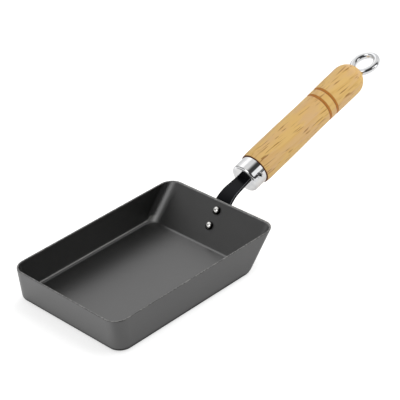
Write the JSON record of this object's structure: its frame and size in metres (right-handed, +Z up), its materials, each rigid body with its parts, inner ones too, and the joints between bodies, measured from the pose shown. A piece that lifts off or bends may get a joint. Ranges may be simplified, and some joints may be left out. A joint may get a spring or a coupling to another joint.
{
  "type": "omelette pan",
  "caption": "Rectangular rolled-omelette pan: pressed steel tray with one sloping wall, riveted strap neck, turned wood handle with a chrome ferrule and a hanging eye.",
  "frame": {"origin": "the middle of the flat base, halfway between the front wall and the sloping wall where they meet the base", "axes": "+X towards the handle, +Z up out of the tray"},
  "size_m": [0.3957, 0.13, 0.0961],
  "materials": {
    "coated_steel": "satin dark grey heat-proof coating on pressed steel",
    "black_paint": "gloss black paint on steel bar",
    "rivet_steel": "polished",
    "chrome_plate": "mirror plating",
    "handle_wood": "clear satin varnish on light wood, burnt grooves"
  },
  "bodies": {
    "root": {"pan_body": "coated_steel", "neck_strap": "black_paint", "upper_rivet": "rivet_steel", "lower_rivet": "rivet_steel", "ferrule": "chrome_plate", "ferrule_screw": "chrome_plate", "wooden_handle": "handle_wood", "hanging_eye": "chrome_plate"}
  },
  "joints": []
}
